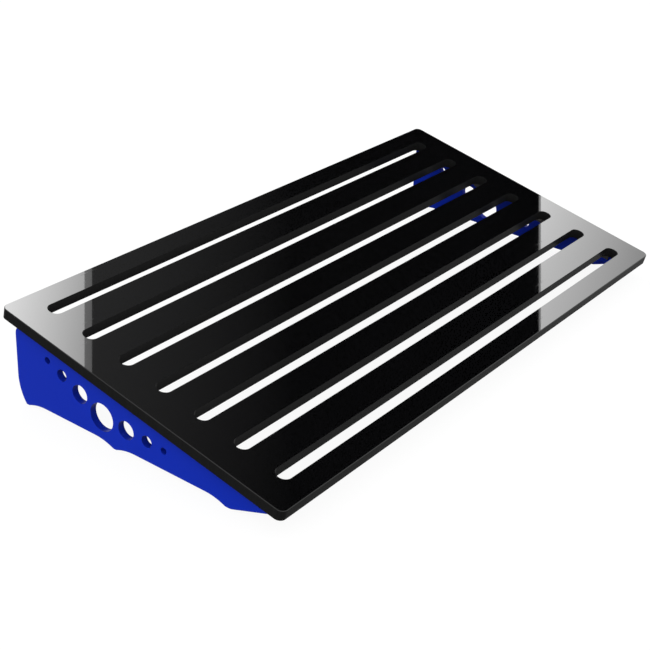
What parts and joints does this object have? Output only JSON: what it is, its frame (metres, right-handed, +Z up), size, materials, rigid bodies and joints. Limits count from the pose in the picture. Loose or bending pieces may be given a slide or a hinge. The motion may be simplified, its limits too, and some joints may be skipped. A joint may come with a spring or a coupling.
{
  "type": "pedalboard",
  "caption": "Sloping board for effects pedals: a slotted flat deck on two side panels with feet and a row of graded cable holes.",
  "frame": {"origin": "on the floor, midway between the side panels and midway between the deck's front and rear edges", "axes": "+Z up, +X to the player's right along the deck's width, +Y away from the player towards the raised edge"},
  "size_m": [0.6, 0.2954, 0.0876],
  "materials": {
    "deck": "polished black cast acrylic sheet",
    "panel": "polished blue cast acrylic sheet",
    "bracket": "black anodised, fine brushed",
    "screw": "black oxide",
    "insert": "turned, bare"
  },
  "bodies": {
    "root": {"deck_plate": "deck", "left_side_panel": "panel", "left_bracket_1": "bracket", "left_bracket_1_deck_screws": "screw", "left_bracket_1_deck_inserts": "insert", "left_bracket_1_panel_screw": "screw", "left_bracket_1_panel_insert": "insert", "left_bracket_2": "bracket", "left_bracket_2_deck_screws": "screw", "left_bracket_2_deck_inserts": "insert", "left_bracket_2_panel_screw": "screw", "left_bracket_2_panel_insert": "insert", "left_bracket_3": "bracket", "left_bracket_3_deck_screws": "screw", "left_bracket_3_deck_inserts": "insert", "left_bracket_3_panel_screw": "screw", "left_bracket_3_panel_insert": "insert", "left_bracket_4": "bracket", "left_bracket_4_deck_screws": "screw", "left_bracket_4_deck_inserts": "insert", "left_bracket_4_panel_screw": "screw", "left_bracket_4_panel_insert": "insert", "right_side_panel": "panel", "right_bracket_1": "bracket", "right_bracket_1_deck_screws": "screw", "right_bracket_1_deck_inserts": "insert", "right_bracket_1_panel_screw": "screw", "right_bracket_1_panel_insert": "insert", "right_bracket_2": "bracket", "right_bracket_2_deck_screws": "screw", "right_bracket_2_deck_inserts": "insert", "right_bracket_2_panel_screw": "screw", "right_bracket_2_panel_insert": "insert", "right_bracket_3": "bracket", "right_bracket_3_deck_screws": "screw", "right_bracket_3_deck_inserts": "insert", "right_bracket_3_panel_screw": "screw", "right_bracket_3_panel_insert": "insert", "right_bracket_4": "bracket", "right_bracket_4_deck_screws": "screw", "right_bracket_4_deck_inserts": "insert", "right_bracket_4_panel_screw": "screw", "right_bracket_4_panel_insert": "insert"}
  },
  "joints": []
}
